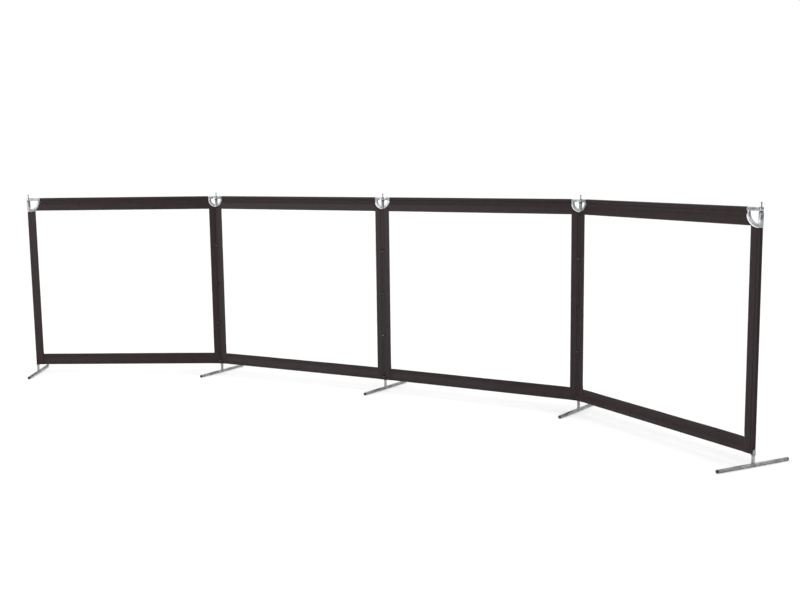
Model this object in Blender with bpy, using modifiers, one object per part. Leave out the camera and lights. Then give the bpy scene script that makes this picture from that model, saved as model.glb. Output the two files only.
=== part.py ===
"""Portable four-panel welding curtain screen.

Five round steel posts stand on T feet. Four panels hang between them, each a top rail, a bottom rail,
two bent corner braces, a fabric border and a clear PVC window. The rails and braces end in rings and
eyes that turn on the posts, and a drop pin locks the two top eyes of each post together, so the screen
folds at every post and each foot swivels under its panels.

Frame: metres, +Z up. The origin is on the floor under the centre post, +X runs along the screen and -Y
is the side that the panels close in on, where the fabric hangs.
"""

import math

import bmesh
import bpy
from mathutils import Matrix, Vector

# Overall size
PITCH = 1.930  # post axis to post axis along one panel
RAIL_HEIGHT = 1.800  # axis of the top rail above the floor
BOTTOM_RAIL_HEIGHT = 0.106  # axis of the bottom rail above the floor
FOOT_LENGTH = 0.690  # tip to tip over the end caps

# How the screen stands: turn of each panel and of each foot about +Z, in degrees
PANEL_HEADINGS = (27.0, 1.0, -1.0, -32.0)
FOOT_HEADINGS = (121.0, 88.0, 84.0, 81.0, 55.0)
CENTRE_POST = 2  # index of the post at the origin

# Round tube: posts, rails and feet
TUBE_OD = 0.0254
TUBE_WALL = 0.0015
TUBE_SIDES = 12

# Fits
PART_GAP = 0.0003  # between pieces that touch or are welded
RUNNING_GAP = 0.0003  # radial, round a post or a pin
PLUG_GAP = 0.0003  # radial, of a plug inside a tube

# Eyes and rings on the ends of the rails and braces
RING_WALL = 0.0025  # round the post, at the corners of its bore
RAIL_LAP_GAP = 0.0180  # from a neighbour's eye to the full section of a lapped rail
BRACE_LAP_GAP = 0.0030  # the same, on a brace
BORE_MOUTH = 0.0040  # the rail's bore runs this far into the lap

# Corner braces: bent tube under the top rail
BRACE_OD = 0.0222
BRACE_WALL = 0.0015
BRACE_SIDES = 10
FOLD_BRACE = {"reach": 0.066, "drop": 0.080, "bend": 0.062}
END_BRACE = {"reach": 0.108, "drop": 0.112, "bend": 0.092}
BEND_STEPS = 5
SLEEVE_WALL = 0.0035  # long sleeve of the brace at an end post
SLEEVE_LIP = 0.0010  # the sleeve's lower end below the bent tube

# Drop pin, with its bush in the post's top
PIN_OD = 0.0095
PIN_FLANGE_OD = 0.0160
PIN_FLANGE = 0.0030
PIN_HEAD_OD = 0.0130
PIN_TOP = 0.0490  # above the rail axis
PIN_BOTTOM = 0.0650  # below the rail axis
PIN_SIDES = 12
HEAD_STEPS = 4
BUSH_LIP = 0.0023  # the bush's flange past the post
BUSH_FLANGE = 0.0090
BUSH_PLUG = 0.0300

# Foot: cross tube with a welded spigot, and its end caps
SPIGOT_HEIGHT = 0.0800
WELD_BEAD = 0.0013  # the weld collar past the post
WELD_HEIGHT = 0.0030
WEB_REACH = 0.0280  # solid middle of the foot tube, from the post axis to the bore
CAP_HEAD = 0.0120
CAP_PLUG = 0.0220
CAP_ROUND = 0.0030

# Set collar that carries the bottom rings
COLLAR_WALL = 0.0030
COLLAR_HEIGHT = 0.0100

# Fabric border with its pockets and straps
SHEET = 0.0018
POCKET_WALL = 0.0014
POCKET_GAP = 0.0007  # radial, pocket to tube
POCKET_SIDES = 12
EDGE_GAP = 0.0015  # from a ring to the free edge of the fabric beside it
SIDE_BORDER = 0.0740  # post axis to the window
TOP_BORDER = 0.1140  # rail axis to the window
HEM_HEIGHT = 0.1050  # lowest edge of the fabric above the floor
BOTTOM_BORDER = 0.1120
NOTCH_GAP = 0.0020  # fabric to the outside of a brace
SEGMENT_GAP = 0.0030  # along the post, between pockets and rings
TAB_INSET = 0.0005  # no edge of the sheet lies flush with a pocket's end
FOLD_SEGMENTS = 4
STRAPS = 3
STRAP_WIDTH = 0.0400
HOLE_ROUND = 0.0060  # corner radius of the hole for the window

# Clear window sheet, welded behind the border
FILM = 0.0010
FILM_LAP = 0.0150
FILM_ROUND = 0.0450  # corner radius, which keeps the sheet out of the notches
CORNER_STEPS = 4



def clear_round(radius, gap, sides):
    """Corner radius of a many-sided bore whose flats clear a round of this radius."""
    return (radius + gap) / math.cos(math.pi / sides)


TUBE_RADIUS = TUBE_OD / 2
BORE_RADIUS = TUBE_RADIUS - TUBE_WALL
POST_BORE_RADIUS = clear_round(TUBE_RADIUS, RUNNING_GAP, TUBE_SIDES)
PLUG_RADIUS = BORE_RADIUS * math.cos(math.pi / TUBE_SIDES) - PLUG_GAP
PIN_BORE_RADIUS = clear_round(PIN_OD / 2, RUNNING_GAP, PIN_SIDES)
POCKET_INNER = clear_round(TUBE_RADIUS, POCKET_GAP, POCKET_SIDES)
POCKET_OUTER = POCKET_INNER + POCKET_WALL
SHEET_Y = -(POCKET_INNER + POCKET_WALL / 2)
EYE_RADIUS = POST_BORE_RADIUS + RING_WALL
SLEEVE_RADIUS = POST_BORE_RADIUS + SLEEVE_WALL
EDGE_REACH = EYE_RADIUS + EDGE_GAP
EYE_TOP = RAIL_HEIGHT + TUBE_RADIUS
EYE_BOTTOM = RAIL_HEIGHT - TUBE_RADIUS
BUSH_BOTTOM = EYE_BOTTOM - PART_GAP - BUSH_FLANGE
POST_TOP = BUSH_BOTTOM - PART_GAP
RING_TOP = BOTTOM_RAIL_HEIGHT + TUBE_RADIUS
RING_BOTTOM = BOTTOM_RAIL_HEIGHT - TUBE_RADIUS
FOOT_AXIS = TUBE_RADIUS * math.cos(math.pi / TUBE_SIDES)  # the tube rests on a flat
POST_BOTTOM = 2 * FOOT_AXIS + WELD_HEIGHT + PART_GAP
THROUGH = 0.010  # how far a cutter runs past what it cuts

COLORS = {
    "zinc_steel": ((0.62, 0.63, 0.64, 1.0), 0.32, 1.0),
    "bush_nylon": ((0.015, 0.015, 0.016, 1.0), 0.50, 0.0),
    "cap_vinyl": ((0.012, 0.012, 0.013, 1.0), 0.45, 0.0),
    "border_vinyl": ((0.036, 0.027, 0.027, 1.0), 0.55, 0.0),
    "clear_pvc": ((0.92, 0.95, 0.97, 0.15), 0.12, 0.0),
}


# ---------------------------------------------------------------- scene and materials


def clear_scene():
    for obj in list(bpy.data.objects):
        bpy.data.objects.remove(obj, do_unlink=True)


def new_collection(name):
    collection = bpy.data.collections.new(name)
    bpy.context.scene.collection.children.link(collection)
    return collection


def material(name):
    found = bpy.data.materials.get(name)
    if found:
        return found
    made = bpy.data.materials.new(name)
    made.use_nodes = True
    color, roughness, metallic = COLORS[name]
    shader = made.node_tree.nodes["Principled BSDF"]
    shader.inputs["Base Color"].default_value = color
    shader.inputs["Alpha"].default_value = color[3]
    shader.inputs["Roughness"].default_value = roughness
    shader.inputs["Metallic"].default_value = metallic
    made.diffuse_color = color
    return made


class Assembly:
    """A pivot on a joint axis, and the pieces and cutters that hang on it."""

    def __init__(self, name, place, parts, cutters, offset=(0, 0, 0)):
        self.parts, self.cutters = parts, cutters
        self.offset = Vector(offset)
        self.pivot = bpy.data.objects.new(name, None)
        self.pivot.matrix_world = place
        self.pivot.empty_display_size = 0.1
        parts.objects.link(self.pivot)

    def place(self, obj, collection):
        collection.objects.link(obj)
        obj.parent = self.pivot
        obj.location = self.offset

    def piece(self, name, mesh, finish):
        mesh.name = name
        mesh.shade_smooth()
        mesh.set_sharp_from_angle(angle=math.radians(35))
        obj = bpy.data.objects.new(name, mesh)
        obj.data.materials.append(material(finish))
        self.place(obj, self.parts)
        return obj

    def boolean(self, obj, operation, mesh, label):
        """Join mesh to obj, or cut it away, and keep it as a wire-frame cutter."""
        mesh.name = f"{obj.name}_{label}"
        tool = bpy.data.objects.new(mesh.name, mesh)
        tool.hide_render = True
        tool.display_type = "WIRE"
        self.place(tool, self.cutters)
        modifier = obj.modifiers.new(label, "BOOLEAN")
        modifier.operation = operation
        modifier.solver = "EXACT"
        modifier.object = tool

    def join(self, obj, mesh, label):
        self.boolean(obj, "UNION", mesh, label)

    def cut(self, obj, mesh, label):
        self.boolean(obj, "DIFFERENCE", mesh, label)


# ---------------------------------------------------------------- shapes


def box(low, high):
    low, high = Vector(low), Vector(high)
    size = high - low
    return ("box", Matrix.Translation((low + high) / 2) @ Matrix.Diagonal((*size, 1.0)))


def rod(start, end, radius, sides=TUBE_SIDES):
    """A cylinder between two points, with a flat and not a corner towards the floor."""
    start, end = Vector(start), Vector(end)
    along = end - start
    turn = Vector((0, 0, 1)).rotation_difference(along).to_matrix().to_4x4()
    half_side = Matrix.Rotation(math.pi / sides, 4, "Z")
    return ("rod", Matrix.Translation((start + end) / 2) @ turn @ half_side, along.length, radius, sides)


def solids(*shapes):
    """One mesh that holds separate boxes and rods."""
    bm = bmesh.new()
    for kind, matrix, *size in shapes:
        if kind == "box":
            bmesh.ops.create_cube(bm, size=1.0, matrix=matrix)
        else:
            length, radius, sides = size
            bmesh.ops.create_cone(
                bm, cap_ends=True, segments=sides, radius1=radius, radius2=radius,
                depth=length, matrix=matrix,
            )
    return mesh_from(bm)


def mesh_from(bm):
    mesh = bpy.data.meshes.new("shape")
    bm.to_mesh(mesh)
    bm.free()
    return mesh


def turned(profile, sides, closed):
    """A profile of (radius, height) points turned about Z, read down its outer side."""
    bm = bmesh.new()
    verts = [bm.verts.new((radius, 0, height)) for radius, height in profile]
    for first, second in zip(verts, verts[1:]):
        bm.edges.new((first, second))
    if closed:
        bm.edges.new((verts[-1], verts[0]))
    outline = mesh_from(bm)
    guide = bpy.data.objects.new("guide", outline)
    bpy.context.scene.collection.objects.link(guide)
    screw = guide.modifiers.new("turn", "SCREW")
    screw.steps = screw.render_steps = sides
    screw.use_merge_vertices = True
    screw.merge_threshold = 0.0001 / 10
    mesh = evaluated_mesh(guide)
    bpy.data.objects.remove(guide, do_unlink=True)
    bpy.data.meshes.remove(outline)
    return mesh


def evaluated_mesh(obj):
    bpy.context.view_layer.update()
    depsgraph = bpy.context.evaluated_depsgraph_get()
    return bpy.data.meshes.new_from_object(obj.evaluated_get(depsgraph))


def curve_mesh(curve):
    """The closed mesh of a curve object, with its caps welded on."""
    obj = bpy.data.objects.new("guide", curve)
    bpy.context.scene.collection.objects.link(obj)
    mesh = evaluated_mesh(obj)
    bpy.data.objects.remove(obj, do_unlink=True)
    bm = bmesh.new()
    bm.from_mesh(mesh)
    bpy.data.meshes.remove(mesh)
    bmesh.ops.remove_doubles(bm, verts=bm.verts, dist=1e-6)
    bmesh.ops.recalc_face_normals(bm, faces=bm.faces)
    return mesh_from(bm)


def add_spline(curve, points, cyclic):
    spline = curve.splines.new("POLY")
    spline.points.add(len(points) - 1)
    for point, place in zip(spline.points, points):
        point.co = (*place, 1.0)
    spline.use_cyclic_u = cyclic


def bent_tube(points, radius, sides):
    curve = bpy.data.curves.new("bend", "CURVE")
    curve.dimensions = "3D"
    curve.bevel_depth = radius
    curve.bevel_resolution = (sides - 4) // 2
    curve.use_fill_caps = True
    add_spline(curve, points, cyclic=False)
    return curve_mesh(curve)


def sheet(outlines, y_middle, thickness):
    """A flat sheet that stands along X, from (x, z) outlines, holes after the first."""
    curve = bpy.data.curves.new("sheet", "CURVE")
    curve.dimensions = "2D"
    curve.fill_mode = "BOTH"
    curve.extrude = thickness / 2
    for outline in outlines:
        add_spline(curve, [(x, z, 0) for x, z in outline], cyclic=True)
    mesh = curve_mesh(curve)
    mesh.transform(Matrix.Translation((0, y_middle, 0)) @ Matrix.Rotation(math.pi / 2, 4, "X"))
    return mesh


def arc(centre, radius, first, last, steps):
    """Points on an arc in a plane, from angle first to last in degrees."""
    angles = [math.radians(first + (last - first) * i / steps) for i in range(steps + 1)]
    return [(centre[0] + radius * math.cos(a), centre[1] + radius * math.sin(a)) for a in angles]


# ---------------------------------------------------------------- layout


def post_places():
    """(x, y) of each post axis, walked both ways from the centre post."""
    steps = [
        Vector((math.cos(math.radians(turn)), math.sin(math.radians(turn)))) * PITCH
        for turn in PANEL_HEADINGS
    ]
    places = [Vector((0, 0)) for _ in FOOT_HEADINGS]
    for i in range(CENTRE_POST, len(steps)):
        places[i + 1] = places[i] + steps[i]
    for i in range(CENTRE_POST, 0, -1):
        places[i - 1] = places[i] - steps[i - 1]
    return places


def end_kind(panel, right):
    """What a panel meets at one end: an end post, or the lower or upper half of a folding joint."""
    if not right:
        return "end" if panel == 0 else "low"
    return "end" if panel == len(PANEL_HEADINGS) - 1 else "high"


def half_band(kind, low, high):
    """The stretch of a ring band that one panel's ring takes, and the stretch it leaves free."""
    middle = (low + high) / 2
    if kind == "low":
        return (low, middle - PART_GAP / 2), (middle - PART_GAP / 2, high + THROUGH)
    if kind == "high":
        return (middle + PART_GAP / 2, high), (low - THROUGH, middle + PART_GAP / 2)
    return (low, high), None


def lap_box(right, reach, free):
    """The block to cut from a lapped end, from past the post out to reach."""
    near, far = sorted((from_post(right, -2 * EYE_RADIUS), from_post(right, reach)))
    return box((near, -2 * EYE_RADIUS, free[0]), (far, 2 * EYE_RADIUS, free[1]))


def from_post(right, offset):
    """x in the panel's frame of a point that lies offset from one of its posts."""
    return PITCH - offset if right else offset


# ---------------------------------------------------------------- post assembly


def make_post(group, number):
    height = POST_TOP - POST_BOTTOM
    tube = turned(
        [(TUBE_RADIUS, height), (TUBE_RADIUS, 0), (BORE_RADIUS, 0), (BORE_RADIUS, height)],
        TUBE_SIDES, closed=True,
    )
    tube.transform(Matrix.Translation((0, 0, POST_BOTTOM)))
    group.piece(f"post_tube_{number}", tube, "zinc_steel")


def make_foot(group, number):
    """Cross tube with a weld collar and a spigot that the post stands on."""
    tube_half = FOOT_LENGTH / 2 - CAP_HEAD - PART_GAP
    start, end = (-tube_half, 0, FOOT_AXIS), (tube_half, 0, FOOT_AXIS)
    foot = group.piece(f"foot_tube_{number}", solids(rod(start, end, TUBE_RADIUS)), "zinc_steel")
    weld_top = 2 * FOOT_AXIS + WELD_HEIGHT
    group.join(foot, solids(rod((0, 0, FOOT_AXIS), (0, 0, weld_top), TUBE_RADIUS + WELD_BEAD)), "weld")
    spigot_top = weld_top + SPIGOT_HEIGHT
    group.join(foot, solids(rod((0, 0, FOOT_AXIS), (0, 0, spigot_top), PLUG_RADIUS)), "spigot")
    # The bore stops short of the weld on both sides, so the spigot's root stays solid.
    bores = [
        rod((side * WEB_REACH, 0, FOOT_AXIS), (side * (tube_half + THROUGH), 0, FOOT_AXIS), BORE_RADIUS)
        for side in (-1, 1)
    ]
    group.cut(foot, solids(*bores), "bores")


def make_foot_caps(group, number):
    for side, where in ((-1, "front"), (1, "rear")):
        profile = [
            (0, CAP_HEAD),
            (TUBE_RADIUS - CAP_ROUND, CAP_HEAD),
            (TUBE_RADIUS - CAP_ROUND * 0.29, CAP_HEAD - CAP_ROUND * 0.29),
            (TUBE_RADIUS, CAP_HEAD - CAP_ROUND),
            (TUBE_RADIUS, 0),
            (PLUG_RADIUS, 0),
            (PLUG_RADIUS, -CAP_PLUG),
            (0, -CAP_PLUG),
        ]
        cap = turned(profile, TUBE_SIDES, closed=False)
        mouth = FOOT_LENGTH / 2 - CAP_HEAD
        cap.transform(Matrix.Rotation(math.pi / TUBE_SIDES, 4, "Z"))
        cap.transform(
            Matrix.Translation((side * mouth, 0, FOOT_AXIS)) @ Matrix.Rotation(side * math.pi / 2, 4, "Y")
        )
        group.piece(f"foot_cap_{where}_{number}", cap, "cap_vinyl")


def make_bush(group, number):
    """Flanged bush: it caps the post, carries the eyes and guides the pin."""
    flange_top = EYE_BOTTOM - PART_GAP
    profile = [
        (TUBE_RADIUS + BUSH_LIP, flange_top),
        (TUBE_RADIUS + BUSH_LIP, BUSH_BOTTOM),
        (PLUG_RADIUS, BUSH_BOTTOM),
        (PLUG_RADIUS, BUSH_BOTTOM - BUSH_PLUG),
        (PIN_BORE_RADIUS, BUSH_BOTTOM - BUSH_PLUG),
        (PIN_BORE_RADIUS, flange_top),
    ]
    group.piece(f"post_bush_{number}", turned(profile, PIN_SIDES, closed=True), "bush_nylon")


def make_collar(group, number):
    top = RING_BOTTOM - PART_GAP
    profile = [
        (TUBE_RADIUS + COLLAR_WALL, top),
        (TUBE_RADIUS + COLLAR_WALL, top - COLLAR_HEIGHT),
        (TUBE_RADIUS + PART_GAP, top - COLLAR_HEIGHT),
        (TUBE_RADIUS + PART_GAP, top),
    ]
    group.piece(f"stop_collar_{number}", turned(profile, TUBE_SIDES, closed=True), "zinc_steel")


def make_pin(group, number):
    """Drop pin: a round head over a stem, a flange that sits on the top eye, and a rounded tip."""
    radius, head = PIN_OD / 2, PIN_HEAD_OD / 2
    head_centre = RAIL_HEIGHT + PIN_TOP - head
    neck = math.asin(radius * 0.8 / head)
    turns = [math.pi / 2 - (math.pi - neck) * i / HEAD_STEPS for i in range(HEAD_STEPS + 1)]
    head_arc = [(head * math.cos(a), head_centre + head * math.sin(a)) for a in turns]
    head_arc[0] = (0, RAIL_HEIGHT + PIN_TOP)
    seat = EYE_TOP + PART_GAP
    tip = RAIL_HEIGHT - PIN_BOTTOM
    profile = head_arc + [
        (radius * 0.8, seat + PIN_FLANGE),
        (PIN_FLANGE_OD / 2, seat + PIN_FLANGE),
        (PIN_FLANGE_OD / 2, seat),
        (radius, seat),
        (radius, tip + radius / 2),
        (radius / 2, tip),
        (0, tip),
    ]
    group.piece(f"hinge_pin_{number}", turned(profile, PIN_SIDES, closed=False), "zinc_steel")


# ---------------------------------------------------------------- panel assembly


def make_rail(group, name, height, ends, bore_radius, bore_sides):
    """A rail between two post axes: round tube with an eye, whole or half-lapped, at each end."""
    low, high = height - TUBE_RADIUS, height + TUBE_RADIUS
    rail = group.piece(
        name, solids(rod((0, 0, height), (PITCH, 0, height), TUBE_RADIUS)), "zinc_steel"
    )
    eyes, laps, bores = [], [], []
    for right, kind in enumerate(ends):
        x = from_post(right, 0)
        taken, free = half_band(kind, low, high)
        eyes.append(rod((x, 0, taken[0]), (x, 0, taken[1]), EYE_RADIUS))
        bores.append(rod((x, 0, low - THROUGH), (x, 0, high + THROUGH), bore_radius, bore_sides))
        if free:
            laps.append(lap_box(right, EYE_RADIUS + RAIL_LAP_GAP, free))
    web = EYE_RADIUS + RAIL_LAP_GAP - BORE_MOUTH
    bores.append(rod((web, 0, height), (PITCH - web, 0, height), BORE_RADIUS))
    group.join(rail, solids(*eyes), "eyes")
    group.cut(rail, solids(*laps), "laps")
    group.cut(rail, solids(*bores), "bores")


def brace_path(size, right, first_height, last_offset):
    """From the rail down, round the bend and in to the post."""
    reach, drop, bend = size["reach"], size["drop"], size["bend"]
    floor = RAIL_HEIGHT - drop
    corner = arc((reach - bend, floor + bend), bend, 0, -90, BEND_STEPS)
    points = [(reach, first_height)] + [point for point in corner if point[0] > last_offset]
    if last_offset < reach - bend:
        points.append((last_offset, floor))
    return [(from_post(right, offset), 0, height) for offset, height in points]


def sleeve_bottom():
    """The lowest point of the sleeve at an end post."""
    return RAIL_HEIGHT - END_BRACE["drop"] - BRACE_OD / 2 - SLEEVE_LIP


def make_brace(group, name, right, kind):
    """Bent tube from the top rail to a ring, or at an end post to a sleeve, that turns on the post."""
    size = END_BRACE if kind == "end" else FOLD_BRACE
    middle = RAIL_HEIGHT - size["drop"]
    band = (middle - BRACE_OD / 2, middle + BRACE_OD / 2)
    x = from_post(right, 0)
    path = brace_path(size, right, RAIL_HEIGHT, 0)
    brace = group.piece(name, bent_tube(path, BRACE_OD / 2, BRACE_SIDES), "zinc_steel")
    taken, free = half_band(kind, *band)
    if kind == "end":
        sleeve = rod((x, 0, sleeve_bottom()), (x, 0, POST_TOP), SLEEVE_RADIUS)
    else:
        sleeve = rod((x, 0, taken[0]), (x, 0, taken[1]), EYE_RADIUS)
    group.join(brace, solids(sleeve), "ring")
    if free:
        group.cut(brace, solids(lap_box(right, EYE_RADIUS + BRACE_LAP_GAP, free)), "lap")
    saddle = rod((0, 0, RAIL_HEIGHT), (PITCH, 0, RAIL_HEIGHT), TUBE_RADIUS + PART_GAP)
    group.cut(brace, solids(saddle), "saddle")
    inner = brace_path(size, right, RAIL_HEIGHT + THROUGH, EYE_RADIUS + BRACE_LAP_GAP + BORE_MOUTH)
    group.cut(brace, bent_tube(inner, BRACE_OD / 2 - BRACE_WALL, BRACE_SIDES), "bore")
    post = rod((x, 0, band[0] - 2 * THROUGH), (x, 0, POST_TOP + THROUGH), POST_BORE_RADIUS)
    group.cut(brace, solids(post), "post_bore")


def pocket_spans(kind):
    """Heights of the pole pockets that one panel has on a post: all of it, or every other stretch."""
    low = RING_TOP + SEGMENT_GAP
    if kind == "end":
        return [(low + SEGMENT_GAP, sleeve_bottom() - SEGMENT_GAP)]
    high = RAIL_HEIGHT - FOLD_BRACE["drop"] - BRACE_OD / 2 - SEGMENT_GAP
    length = (high - low + SEGMENT_GAP) / FOLD_SEGMENTS
    spans = [(low + i * length, low + (i + 1) * length - SEGMENT_GAP) for i in range(FOLD_SEGMENTS)]
    return spans[0::2] if kind == "low" else spans[1::2]


def notch(kind):
    """Reach, drop and corner radius of the fabric's cut-out round a brace."""
    size = END_BRACE if kind == "end" else FOLD_BRACE
    grow = BRACE_OD / 2 + NOTCH_GAP
    return size["reach"] + grow, size["drop"] + grow, size["bend"] + grow


def side_outline(kind):
    """One side of the border as (offset from the post, height), from the hem up to the rail."""
    points = [(EDGE_REACH, HEM_HEIGHT)]
    for low, high in pocket_spans(kind):
        low, high = low + TAB_INSET, high - TAB_INSET
        points += [(EDGE_REACH, low), (0, low), (0, high), (EDGE_REACH, high)]
    reach, drop, bend = notch(kind)
    centre = (reach - bend, RAIL_HEIGHT - drop + bend)
    return points + [(EDGE_REACH, RAIL_HEIGHT - drop)] + arc(
        centre, bend, -90, 0, BEND_STEPS
    )[notch_skip(centre, bend):] + [(reach, RAIL_HEIGHT)]


def notch_skip(centre, bend):
    """How many of the arc's first points lie nearer the post than the free edge."""
    return sum(1 for x, _ in arc(centre, bend, -90, 0, BEND_STEPS) if x <= EDGE_REACH)


def window_outline(grow, corner):
    """The window's outline, grown outwards all round, with rounded corners, as (x, z)."""
    low = HEM_HEIGHT + BOTTOM_BORDER - grow
    high = RAIL_HEIGHT - TOP_BORDER + grow
    left, right = SIDE_BORDER - grow, PITCH - SIDE_BORDER + grow
    turns = ((left, low, 180), (right, low, 270), (right, high, 0), (left, high, 90))
    points = []
    for x, z, first in turns:
        centre = (x + math.copysign(corner, PITCH / 2 - x), z + (corner if z == low else -corner))
        points += arc(centre, corner, first, first + 90, CORNER_STEPS)
    return points


def make_border(group, name, ends):
    """Fabric border: a sheet in front of the frame, with its rod pocket, pole pockets and straps."""
    left, right = (side_outline(kind) for kind in ends)
    outline = [(from_post(0, offset), z) for offset, z in reversed(left)]
    outline += [(from_post(1, offset), z) for offset, z in right]
    mesh = sheet([outline, window_outline(0, HOLE_ROUND)], SHEET_Y, SHEET)
    border = group.piece(name, mesh, "border_vinyl")
    rounds = []
    for right_end, kind in enumerate(ends):
        x = from_post(right_end, 0)
        rounds += [((x, 0, low), (x, 0, high)) for low, high in pocket_spans(kind)]
    rail_ends = [from_post(side, notch(kind)[0] + TAB_INSET) for side, kind in enumerate(ends)]
    rounds.append(((rail_ends[0], 0, RAIL_HEIGHT), (rail_ends[1], 0, RAIL_HEIGHT)))
    for i in range(STRAPS):
        x = PITCH * (i + 0.5) / STRAPS
        strap_ends = [(x + side * STRAP_WIDTH / 2, 0, BOTTOM_RAIL_HEIGHT) for side in (-1, 1)]
        rounds.append(tuple(strap_ends))
    outer = [rod(start, end, POCKET_OUTER, POCKET_SIDES) for start, end in rounds]
    inner = [rod(*stretched(start, end), POCKET_INNER, POCKET_SIDES) for start, end in rounds]
    group.join(border, solids(*outer), "pockets")
    group.cut(border, solids(*inner), "pocket_bores")


def stretched(start, end):
    """Both points moved apart a little, so that a cutter passes right through."""
    start, end = Vector(start), Vector(end)
    more = (end - start).normalized() * SEGMENT_GAP / 3
    return start - more, end + more


def make_window(group, name):
    y_middle = SHEET_Y + SHEET / 2 + PART_GAP + FILM / 2
    group.piece(name, sheet([window_outline(FILM_LAP, FILM_ROUND)], y_middle, FILM), "clear_pvc")


# ---------------------------------------------------------------- the whole screen


def build_posts(parts, cutters, places):
    for i, (place, heading) in enumerate(zip(places, FOOT_HEADINGS)):
        at = Matrix.Translation((*place, 0)) @ Matrix.Rotation(math.radians(heading), 4, "Z")
        group = Assembly(f"post_pivot_{i + 1}", at, parts, cutters)
        make_post(group, i + 1)
        make_foot(group, i + 1)
        make_foot_caps(group, i + 1)
        make_bush(group, i + 1)
        make_collar(group, i + 1)
        make_pin(group, i + 1)


def build_panels(parts, cutters, places):
    for i, heading in enumerate(PANEL_HEADINGS):
        # A panel left of the centre turns on its right-hand post, one right of it on its left.
        right_pivot = i + 1 < CENTRE_POST
        pivot = places[i + 1] if right_pivot else places[i]
        offset = (-PITCH, 0, 0) if right_pivot else (0, 0, 0)
        at = Matrix.Translation((*pivot, 0)) @ Matrix.Rotation(math.radians(heading), 4, "Z")
        group = Assembly(f"panel_pivot_{i + 1}", at, parts, cutters, offset)
        ends = [end_kind(i, right) for right in (False, True)]
        make_rail(group, f"top_rail_{i + 1}", RAIL_HEIGHT, ends, PIN_BORE_RADIUS, PIN_SIDES)
        make_rail(
            group, f"bottom_rail_{i + 1}", BOTTOM_RAIL_HEIGHT, ends, POST_BORE_RADIUS, TUBE_SIDES
        )
        make_brace(group, f"left_brace_{i + 1}", False, ends[0])
        make_brace(group, f"right_brace_{i + 1}", True, ends[1])
        make_border(group, f"curtain_border_{i + 1}", ends)
        make_window(group, f"clear_window_{i + 1}")


def main():
    clear_scene()
    parts = new_collection("welding_curtain_screen")
    cutters = new_collection("cutters")
    places = post_places()
    build_posts(parts, cutters, places)
    build_panels(parts, cutters, places)
    bpy.context.view_layer.update()


main()
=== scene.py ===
"""Welding curtain screen: the detailed pieces of a folding four-panel screen round its frame.

Metres, +Z up, in the frame's own axes. A panel is built in its own axes first: X from its left post
to its right one, -Y the side that the curtain hangs on. Then it is turned into place.
"""

import math
from functools import partial

import bmesh
import bpy
from bmesh.types import BMEdge, BMVert
from mathutils import Matrix, Vector, noise


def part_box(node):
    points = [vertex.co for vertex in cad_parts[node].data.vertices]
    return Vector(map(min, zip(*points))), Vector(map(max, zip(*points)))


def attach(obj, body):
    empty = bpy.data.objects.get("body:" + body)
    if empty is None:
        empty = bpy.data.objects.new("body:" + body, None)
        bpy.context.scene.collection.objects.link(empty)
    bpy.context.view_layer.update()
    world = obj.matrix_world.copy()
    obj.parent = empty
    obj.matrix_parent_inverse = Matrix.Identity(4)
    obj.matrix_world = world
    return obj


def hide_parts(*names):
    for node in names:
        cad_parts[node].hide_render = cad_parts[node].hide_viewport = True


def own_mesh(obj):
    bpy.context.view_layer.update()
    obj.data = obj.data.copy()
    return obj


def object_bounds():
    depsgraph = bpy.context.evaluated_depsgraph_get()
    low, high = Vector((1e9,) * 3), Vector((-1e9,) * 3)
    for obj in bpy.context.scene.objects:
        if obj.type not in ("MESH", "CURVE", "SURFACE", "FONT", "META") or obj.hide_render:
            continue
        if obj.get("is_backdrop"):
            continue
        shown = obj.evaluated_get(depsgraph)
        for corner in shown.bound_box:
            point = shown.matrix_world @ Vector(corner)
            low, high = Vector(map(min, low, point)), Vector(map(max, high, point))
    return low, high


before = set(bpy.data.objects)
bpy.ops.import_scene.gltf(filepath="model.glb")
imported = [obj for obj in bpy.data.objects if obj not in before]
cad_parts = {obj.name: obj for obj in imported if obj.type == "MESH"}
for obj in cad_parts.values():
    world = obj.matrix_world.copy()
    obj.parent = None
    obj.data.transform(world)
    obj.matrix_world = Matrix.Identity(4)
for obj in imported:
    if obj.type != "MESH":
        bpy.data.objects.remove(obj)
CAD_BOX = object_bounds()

bl_info = {
    "name": "Welding Curtain Screen",
    "version": (1, 0, 0),
    "blender": (4, 5, 0),
    "location": "3D View > Sidebar > Curtain Screen",
    "description": "Builds the pieces of a folding welding curtain screen",
    "category": "Object",
}

MM = 0.001


def middle(node):
    low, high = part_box(node)
    return (low + high) / 2


def heights(node):
    """A node's lowest and highest point."""
    return [corner.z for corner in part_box(node)]


# Places and sizes that the frame gives
POSTS = range(1, 6)
PANELS = range(1, 5)
AXES = {n: middle(f"post_tube_{n}") for n in POSTS}
PITCH = (AXES[2] - AXES[1]).xy.length
RAIL_HEIGHT = middle("top_rail_1").z
HEM_RAIL_HEIGHT = middle("bottom_rail_1").z
TUBE_RADIUS = (heights("top_rail_1")[1] - heights("top_rail_1")[0]) / 2
POST_BOTTOM, POST_TOP = heights("post_tube_1")
SPIGOT_TOP = heights("foot_tube_1")[1]
COLLAR_LOW, COLLAR_HIGH = heights("stop_collar_1")
BUSH_LOW, BUSH_HIGH = heights("post_bush_1")
PIN_LOW, PIN_HIGH = heights("hinge_pin_1")
SLEEVE_LOW = heights("left_brace_1")[0]
HEM_LOW = heights("curtain_border_1")[0]
FOOT_HALF = (middle("foot_cap_rear_2") - middle("foot_cap_front_2")).length / 2 + 5 * MM

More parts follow.
